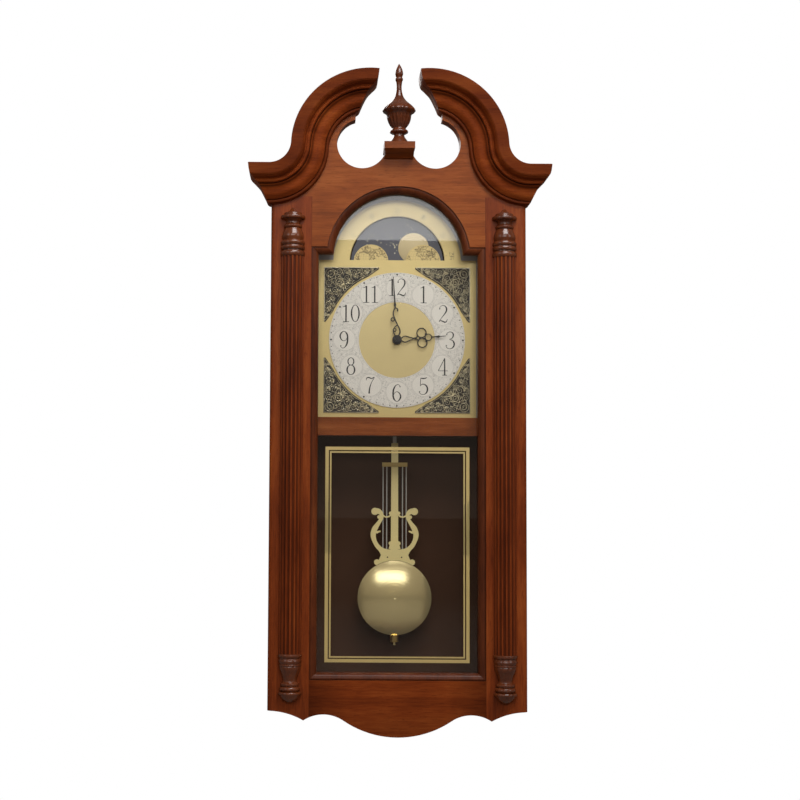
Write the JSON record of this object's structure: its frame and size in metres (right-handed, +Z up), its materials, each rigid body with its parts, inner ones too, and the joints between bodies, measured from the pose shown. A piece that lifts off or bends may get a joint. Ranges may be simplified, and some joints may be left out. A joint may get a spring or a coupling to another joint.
{
  "type": "pendulum wall clock",
  "caption": "Tall wooden wall clock with a swan-neck pediment, fluted columns, a moon-arch dial and a lyre pendulum behind a glazed, hinged front.",
  "frame": {"origin": "centre of the round hole of the hanger's keyhole, on the plate's wall side", "axes": "+X towards the viewer's right, +Y back into the wall, +Z up"},
  "size_m": [0.394, 0.146, 0.878],
  "materials": {
    "panel_brown": "stained hardboard",
    "case_wood": "satin dark cherry",
    "rail_wood": "satin cherry",
    "frame_wood": "satin cherry",
    "turned_wood": "gloss dark cherry",
    "zinc_steel": "zinc plated",
    "plain_brass": "satin brass",
    "polished_brass": "polished brass",
    "magnet": "matt black",
    "black_plastic": "matt black",
    "dial_gold": "brushed gold",
    "dial_silver": "satin silver",
    "filigree": "antique brass",
    "battery_wrap": "gloss",
    "clear_glass": "clear",
    "hand_black": "satin black",
    "light_plastic": "matt",
    "moon_sky": "printed metal"
  },
  "bodies": {
    "case": {"back_panel": "panel_brown", "left_side_panel": "case_wood", "right_side_panel": "case_wood", "case_top": "case_wood", "case_bottom": "case_wood", "dial_battens": "case_wood", "dial_rail": "rail_wood", "hanger_plate": "zinc_steel", "case_screws": "plain_brass", "access_cover": "panel_brown", "hinge_leaves_case": "plain_brass", "hinge_pins": "plain_brass", "catch_magnet": "magnet", "speaker": "black_plastic", "dial_plate": "dial_gold", "chapter_ring": "dial_silver", "centre_disc": "dial_gold", "spandrels": "filigree", "dial_screws": "plain_brass", "movement_case": "black_plastic", "movement_nut": "plain_brass", "batteries": "battery_wrap"},
    "door": {"left_stile": "frame_wood", "right_stile": "frame_wood", "pediment_board": "frame_wood", "apron_rail": "frame_wood", "sight_moulding": "turned_wood", "door_glass": "clear_glass", "glass_retainers": "case_wood", "left_column": "frame_wood", "right_column": "frame_wood", "column_capitals": "turned_wood", "column_bases": "turned_wood", "left_swan_neck": "frame_wood", "right_swan_neck": "frame_wood", "finial_block": "frame_wood", "finial": "turned_wood", "hinge_leaves_door": "plain_brass", "strike_plate": "zinc_steel"},
    "minute_train": {"minute_hand": "hand_black", "minute_arbor": "zinc_steel", "hand_nut": "hand_black", "set_knob": "light_plastic"},
    "hour_train": {"hour_hand": "hand_black", "hour_pipe": "plain_brass"},
    "moon": {"moon_arbor": "plain_brass", "moon_disc": "moon_sky"},
    "pendulum": {"pendulum_leader": "zinc_steel", "pendulum_rod": "polished_brass", "pendulum_crossbar": "polished_brass", "lyre_strings": "zinc_steel", "lyre_plate": "polished_brass", "bob_front": "polished_brass", "bob_back": "polished_brass"},
    "rating_nut": {"rating_nut": "polished_brass"},
    "chime_selector": {"chime_selector": "light_plastic"},
    "volume_knob": {"volume_knob": "light_plastic"}
  },
  "joints": [
    {"name": "door_hinge", "type": "hinge", "parent": "case", "child": "door", "pos_m": [0.1615, -0.0935, -0.3], "axis": [0, 0, 1], "range_deg": [0, 90]},
    {"name": "minute_turn", "type": "hinge", "parent": "case", "child": "minute_train", "pos_m": [0, -0.074, -0.175], "axis": [0, 1, 0], "continuous": true},
    {"name": "hour_turn", "type": "hinge", "parent": "case", "child": "hour_train", "pos_m": [0, -0.079, -0.175], "axis": [0, 1, 0], "continuous": true},
    {"name": "moon_turn", "type": "hinge", "parent": "case", "child": "moon", "pos_m": [0, -0.076, -0.0725], "axis": [0, 1, 0], "continuous": true},
    {"name": "pendulum_swing", "type": "hinge", "parent": "case", "child": "pendulum", "pos_m": [0, -0.034, -0.242], "axis": [0, 1, 0], "range_deg": [-4, 4]},
    {"name": "rating_nut_turn", "type": "hinge", "parent": "pendulum", "child": "rating_nut", "pos_m": [0, -0.0355, -0.572], "axis": [0, 0, 1], "continuous": true},
    {"name": "chime_selector_slide", "type": "slide", "parent": "case", "child": "chime_selector", "axis": [1, 0, 0], "range_m": [0, 0.01]},
    {"name": "volume_turn", "type": "hinge", "parent": "case", "child": "volume_knob", "pos_m": [-0.02, -0.042, -0.138], "axis": [0, 1, 0], "range_deg": [0, 270]}
  ],
  "couplings": [
    {"joint": "hour_turn", "follows": "minute_turn", "ratio": 0.083333},
    {"joint": "moon_turn", "follows": "minute_turn", "ratio": 0.00070621}
  ]
}
